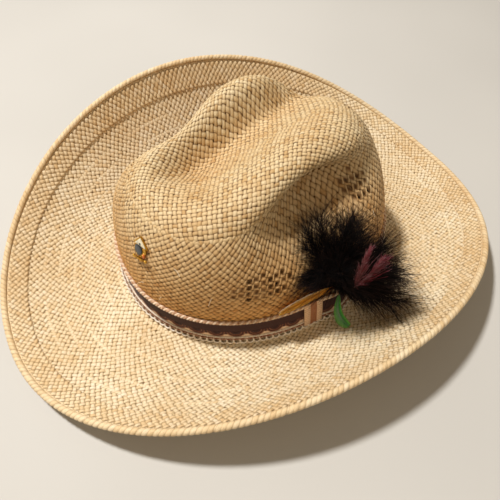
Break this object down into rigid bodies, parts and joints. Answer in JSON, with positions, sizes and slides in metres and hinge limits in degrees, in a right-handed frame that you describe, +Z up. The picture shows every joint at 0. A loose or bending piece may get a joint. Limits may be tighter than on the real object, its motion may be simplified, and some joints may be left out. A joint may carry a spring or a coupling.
{
  "type": "cowboy hat",
  "caption": "Woven straw western hat with a creased crown, side-rolled wide brim, woven hat band, black feather plume and an enamel pin.",
  "frame": {"origin": "middle of the brim in plan, at the level of the surface that the hat rests on", "axes": "+X to the wearer's left, +Y to the back of the hat, +Z up through the crown"},
  "size_m": [0.3063, 0.3943, 0.1216],
  "materials": {
    "straw_crown": "woven palm straw, satin",
    "straw_brim": "woven palm straw, bleached by sun",
    "straw_edge": "plaited palm straw",
    "steel_wire": "drawn",
    "band_brown": "woven rayon, matt",
    "cord_tan": "twisted cotton",
    "lace_cream": "crocheted cotton",
    "keeper_tan": "woven cotton, striped brown",
    "thread": "cotton thread",
    "leather_tan": "smooth, oiled",
    "leather_dark": "smooth",
    "quill": "horn-like quill",
    "binding_brown": "brushed felt",
    "feather_black": "fluffy marabou",
    "feather_red": "dyed hackle",
    "feather_green": "dyed biot",
    "feather_gold": "golden feather",
    "pin_gold": "polished",
    "enamel_dark": "hard enamel",
    "enamel_cream": "hard enamel",
    "pin_steel": "polished",
    "clutch_gold": "stamped"
  },
  "bodies": {
    "hat": {"crown": "straw_crown", "brim": "straw_brim", "brim_edge_fold": "straw_edge", "brim_edge_braid": "straw_edge", "brim_wire": "steel_wire", "hat_band": "band_brown", "band_top_cord": "cord_tan", "band_lace_edge": "lace_cream", "band_keeper": "keeper_tan", "band_tacks": "thread", "sweatband": "leather_tan", "sweatband_stitching": "thread", "sweatband_bow": "leather_dark"},
    "plume": {"plume_quills": "quill", "plume_binding": "binding_brown", "marabou_black": "feather_black", "feather_red": "feather_red", "feather_green": "feather_green", "feather_gold": "feather_gold"},
    "pin": {"pin_plate": "pin_gold", "pin_dark_enamel": "enamel_dark", "pin_cream_enamel": "enamel_cream", "pin_bar": "pin_gold", "pin_post": "pin_steel"},
    "clutch": {"clutch_cap": "clutch_gold", "clutch_wings": "clutch_gold"}
  },
  "joints": [
    {"name": "plume_slide", "type": "slide", "parent": "hat", "child": "plume", "axis": [-0.0505, -0.1038, 0.9933], "range_m": [0, 0.03]},
    {"name": "pin_swivel", "type": "hinge", "parent": "hat", "child": "pin", "pos_m": [0.02308, -0.09551, 0.08033], "axis": [0.2383, -0.9102, 0.3387], "continuous": true},
    {"name": "clutch_slide", "type": "slide", "parent": "pin", "child": "clutch", "axis": [-0.2383, 0.9102, -0.3387], "range_m": [0, 0.012]}
  ]
}
